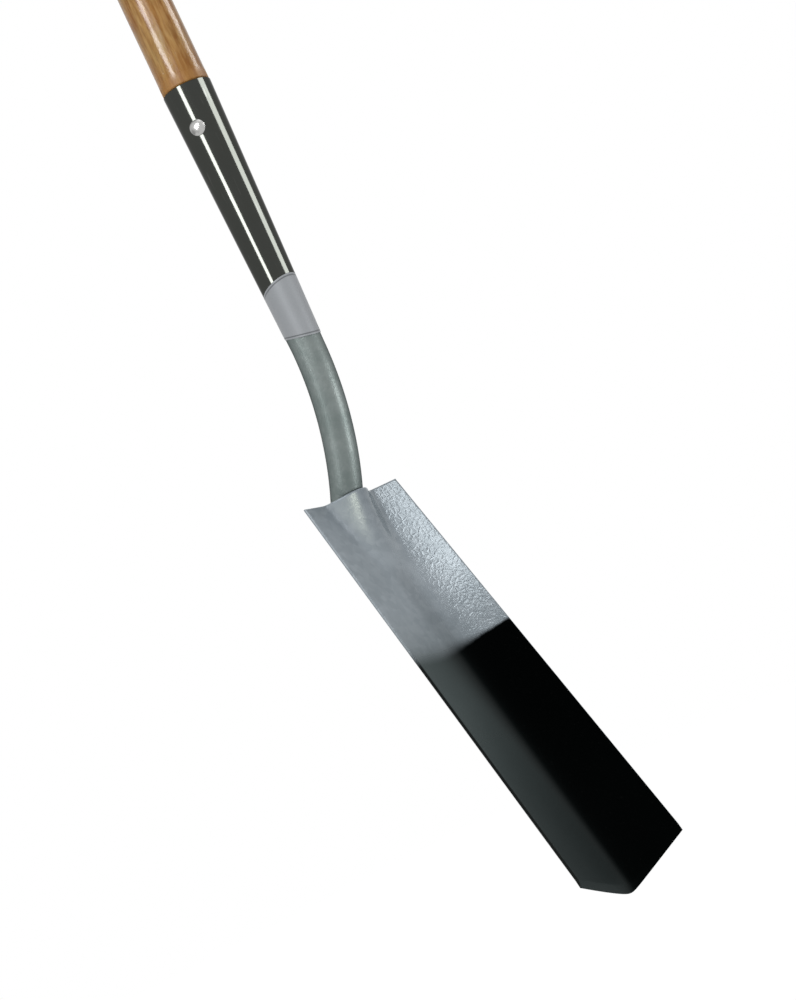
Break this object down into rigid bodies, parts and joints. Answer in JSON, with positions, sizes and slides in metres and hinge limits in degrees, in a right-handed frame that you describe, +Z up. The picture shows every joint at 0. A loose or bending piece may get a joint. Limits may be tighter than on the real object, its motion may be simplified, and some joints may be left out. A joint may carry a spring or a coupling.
{
  "type": "trenching spade",
  "caption": "Narrow trenching spade: a long dished steel blade on a goose-necked tubular socket, with a straight round wooden shaft for digging and clearing trenches.",
  "frame": {"origin": "on the shaft axis, in the plain round stretch of the shaft 150 mm above the socket mouth, where a clip or rack would hold it", "axes": "+Z up the shaft towards its domed end, -Y the dished front of the blade, X across the blade"},
  "size_m": [0.1324, 0.1333, 1.571],
  "materials": {
    "blade": "hammered grey paint above, gloss black paint on the lower part",
    "socket_neck": "hammered greenish grey paint",
    "handle_shaft": "lacquered ash",
    "rivet": "bright domed heads",
    "label_sleeve": "glossy dark film",
    "label_band": "glossy silver film",
    "weld_left": "painted weld bead",
    "weld_right": "painted weld bead",
    "weld_heel": "painted weld bead"
  },
  "bodies": {
    "root": {"blade": "blade", "socket_neck": "socket_neck", "handle_shaft": "handle_shaft", "rivet": "rivet", "label_sleeve": "label_sleeve", "label_band": "label_band", "weld_left": "weld_left", "weld_right": "weld_right", "weld_heel": "weld_heel"}
  },
  "joints": []
}
